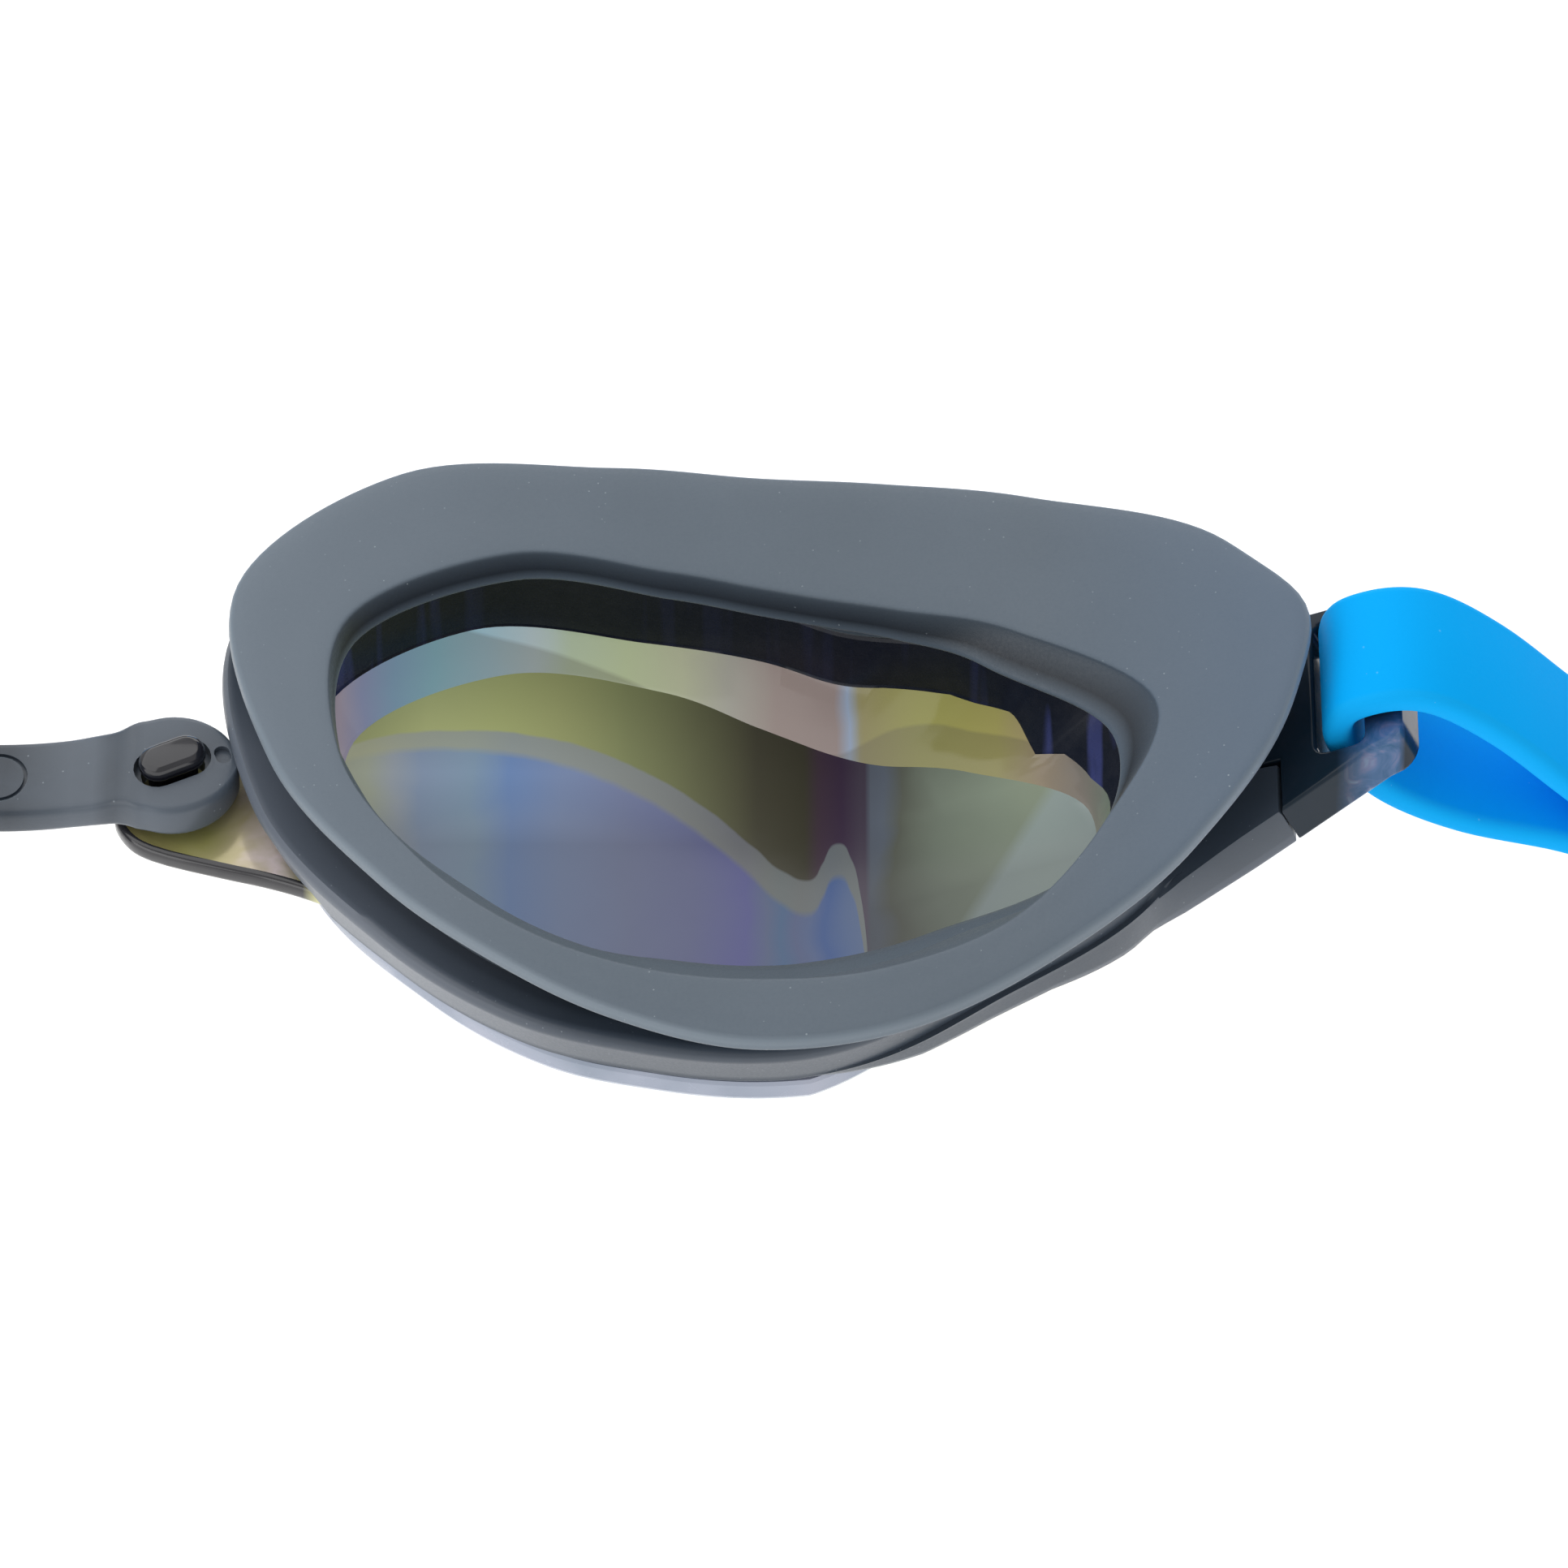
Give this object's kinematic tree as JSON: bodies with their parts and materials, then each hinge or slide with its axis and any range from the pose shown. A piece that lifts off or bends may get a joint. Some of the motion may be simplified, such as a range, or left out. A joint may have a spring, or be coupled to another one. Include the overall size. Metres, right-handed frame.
{
  "type": "swim goggles",
  "caption": "Low-profile racing swim goggles: mirrored lens bowls in rigid frames with soft face seals, a pegged nose bridge, and a split silicone strap with a back clip.",
  "frame": {"origin": "Bottom centre of the whole object's box, on the surface that the lens fronts lie on.", "axes": "+X towards the wearer's right, +Y towards the brow side and the strap laid out behind, +Z from the lens fronts to the face seals."},
  "size_m": [0.2482, 0.0996, 0.0188],
  "materials": {
    "mirror_lens": "smoked polycarbonate with a rainbow mirror coating",
    "frame_plastic": "dark grey, satin gloss",
    "seal_silicone": "slate grey silicone, matte",
    "bridge_rubber": "dark translucent grey, semi-gloss",
    "strap_silicone": "bright blue silicone, satin",
    "clip_plastic": "dark grey, satin gloss"
  },
  "bodies": {
    "bridge": {"nose_bridge": "bridge_rubber"},
    "right_cup": {"right_lens": "mirror_lens", "right_frame": "frame_plastic", "right_seal": "seal_silicone", "right_strap_fold": "strap_silicone"},
    "left_cup": {"left_lens": "mirror_lens", "left_frame": "frame_plastic", "left_seal": "seal_silicone", "left_strap_fold": "strap_silicone"},
    "strap": {"strap_outer_run": "strap_silicone", "strap_inner_run_right": "strap_silicone", "strap_inner_run_left": "strap_silicone"},
    "clip": {"rear_clip": "clip_plastic"}
  },
  "joints": [
    {"name": "right_cup_flex", "type": "hinge", "parent": "bridge", "child": "right_cup", "pos_m": [0.0095, -0.0258, 0.00645], "axis": [0, -1, 0], "range_deg": [-8, 8], "stiffness_Nm_per_rad": 0.05},
    {"name": "left_cup_flex", "type": "hinge", "parent": "bridge", "child": "left_cup", "pos_m": [-0.0095, -0.0258, 0.00645], "axis": [0, 1, 0], "range_deg": [-8, 8], "stiffness_Nm_per_rad": 0.05},
    {"name": "strap_swing", "type": "hinge", "parent": "bridge", "child": "strap", "pos_m": [0, -0.0264, 0.0022], "axis": [1, 0, 0], "range_deg": [0, 120]},
    {"name": "clip_slide", "type": "slide", "parent": "strap", "child": "clip", "axis": [1, 0, 0], "range_m": [-0.015, 0.015]}
  ]
}
